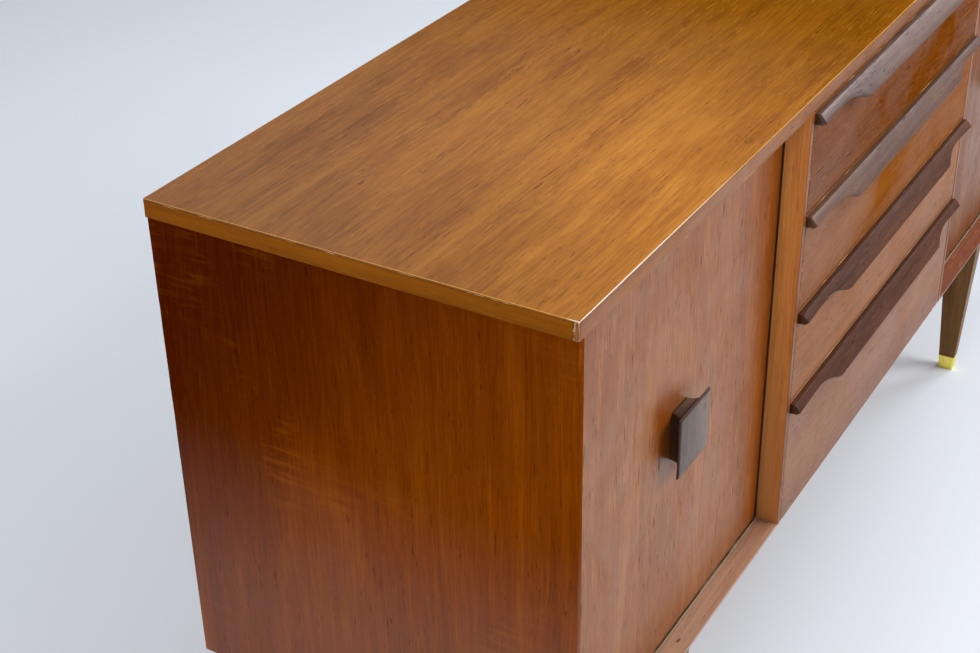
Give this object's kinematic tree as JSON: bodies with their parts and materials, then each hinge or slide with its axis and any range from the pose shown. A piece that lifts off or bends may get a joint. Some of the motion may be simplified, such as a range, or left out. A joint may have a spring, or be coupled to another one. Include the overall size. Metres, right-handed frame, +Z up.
{
  "type": "sideboard",
  "caption": "Low wooden sideboard: a central bank of drawers with carved handles between two recessed cupboards, on tapered legs with brass ferrules.",
  "frame": {"origin": "on the floor, below the middle of the bounding box", "axes": "+X along the length to the right as seen from the front, -Y out of the front, +Z up"},
  "size_m": [1.6, 0.4716, 0.795],
  "materials": {
    "top_veneer": "satin lacquer over golden brown veneer",
    "edge_band": "satin lacquer, worn along the edges",
    "case_veneer": "satin lacquer over red-brown veneer",
    "front_veneer": "glossy lacquer over open-pored veneer",
    "stile_wood": "satin lacquer over solid wood",
    "handle_wood": "satin lacquer over dark solid wood",
    "leg_wood": "satin lacquer over solid wood",
    "inside_wood": "thin lacquer",
    "drawer_wood": "bare, sanded",
    "brass": "polished, lightly tarnished",
    "steel": "zinc plated"
  },
  "bodies": {
    "case": {"top_panel": "top_veneer", "top_edge_bands": "edge_band", "left_end_panel": "case_veneer", "right_end_panel": "case_veneer", "bottom_panel": "inside_wood", "left_bottom_rail": "front_veneer", "right_bottom_rail": "front_veneer", "left_divider": "inside_wood", "right_divider": "inside_wood", "left_stile": "stile_wood", "right_stile": "stile_wood", "back_panel": "inside_wood", "back_screws": "steel", "drawer_runners": "inside_wood", "left_shelf": "inside_wood", "right_shelf": "inside_wood", "shelf_pins": "brass", "front_left_leg": "leg_wood", "front_right_leg": "leg_wood", "back_left_leg": "leg_wood", "back_right_leg": "leg_wood", "front_left_ferrule": "brass", "front_right_ferrule": "brass", "back_left_ferrule": "brass", "back_right_ferrule": "brass", "leg_inserts": "steel", "leg_bolts": "steel", "left_hinge_case_leaves": "brass", "right_hinge_case_leaves": "brass", "hinge_pins": "brass", "door_catches": "steel"},
    "left_door_body": {"left_door": "front_veneer", "left_pull": "handle_wood", "left_hinge_door_leaves": "brass", "left_strike_plate": "steel"},
    "right_door_body": {"right_door": "front_veneer", "right_pull": "handle_wood", "right_hinge_door_leaves": "brass", "right_strike_plate": "steel"},
    "drawer_1": {"drawer_1_front": "front_veneer", "drawer_1_sides": "drawer_wood", "drawer_1_back": "drawer_wood", "drawer_1_bottom": "drawer_wood", "drawer_1_handle": "handle_wood"},
    "drawer_2": {"drawer_2_front": "front_veneer", "drawer_2_sides": "drawer_wood", "drawer_2_back": "drawer_wood", "drawer_2_bottom": "drawer_wood", "drawer_2_handle": "handle_wood"},
    "drawer_3": {"drawer_3_front": "front_veneer", "drawer_3_sides": "drawer_wood", "drawer_3_back": "drawer_wood", "drawer_3_bottom": "drawer_wood", "drawer_3_handle": "handle_wood"},
    "drawer_4": {"drawer_4_front": "front_veneer", "drawer_4_sides": "drawer_wood", "drawer_4_back": "drawer_wood", "drawer_4_bottom": "drawer_wood", "drawer_4_handle": "handle_wood"}
  },
  "joints": [
    {"name": "left_door_hinge", "type": "hinge", "parent": "case", "child": "left_door_body", "pos_m": [-0.7873, -0.19065, 0.516], "axis": [0, 0, -1], "range_deg": [0, 100]},
    {"name": "right_door_hinge", "type": "hinge", "parent": "case", "child": "right_door_body", "pos_m": [0.7873, -0.19065, 0.516], "axis": [0, 0, 1], "range_deg": [0, 100]},
    {"name": "drawer_1_slide", "type": "slide", "parent": "case", "child": "drawer_1", "axis": [0, -1, 0], "range_m": [0, 0.3]},
    {"name": "drawer_2_slide", "type": "slide", "parent": "case", "child": "drawer_2", "axis": [0, -1, 0], "range_m": [0, 0.3]},
    {"name": "drawer_3_slide", "type": "slide", "parent": "case", "child": "drawer_3", "axis": [0, -1, 0], "range_m": [0, 0.3]},
    {"name": "drawer_4_slide", "type": "slide", "parent": "case", "child": "drawer_4", "axis": [0, -1, 0], "range_m": [0, 0.3]}
  ]
}
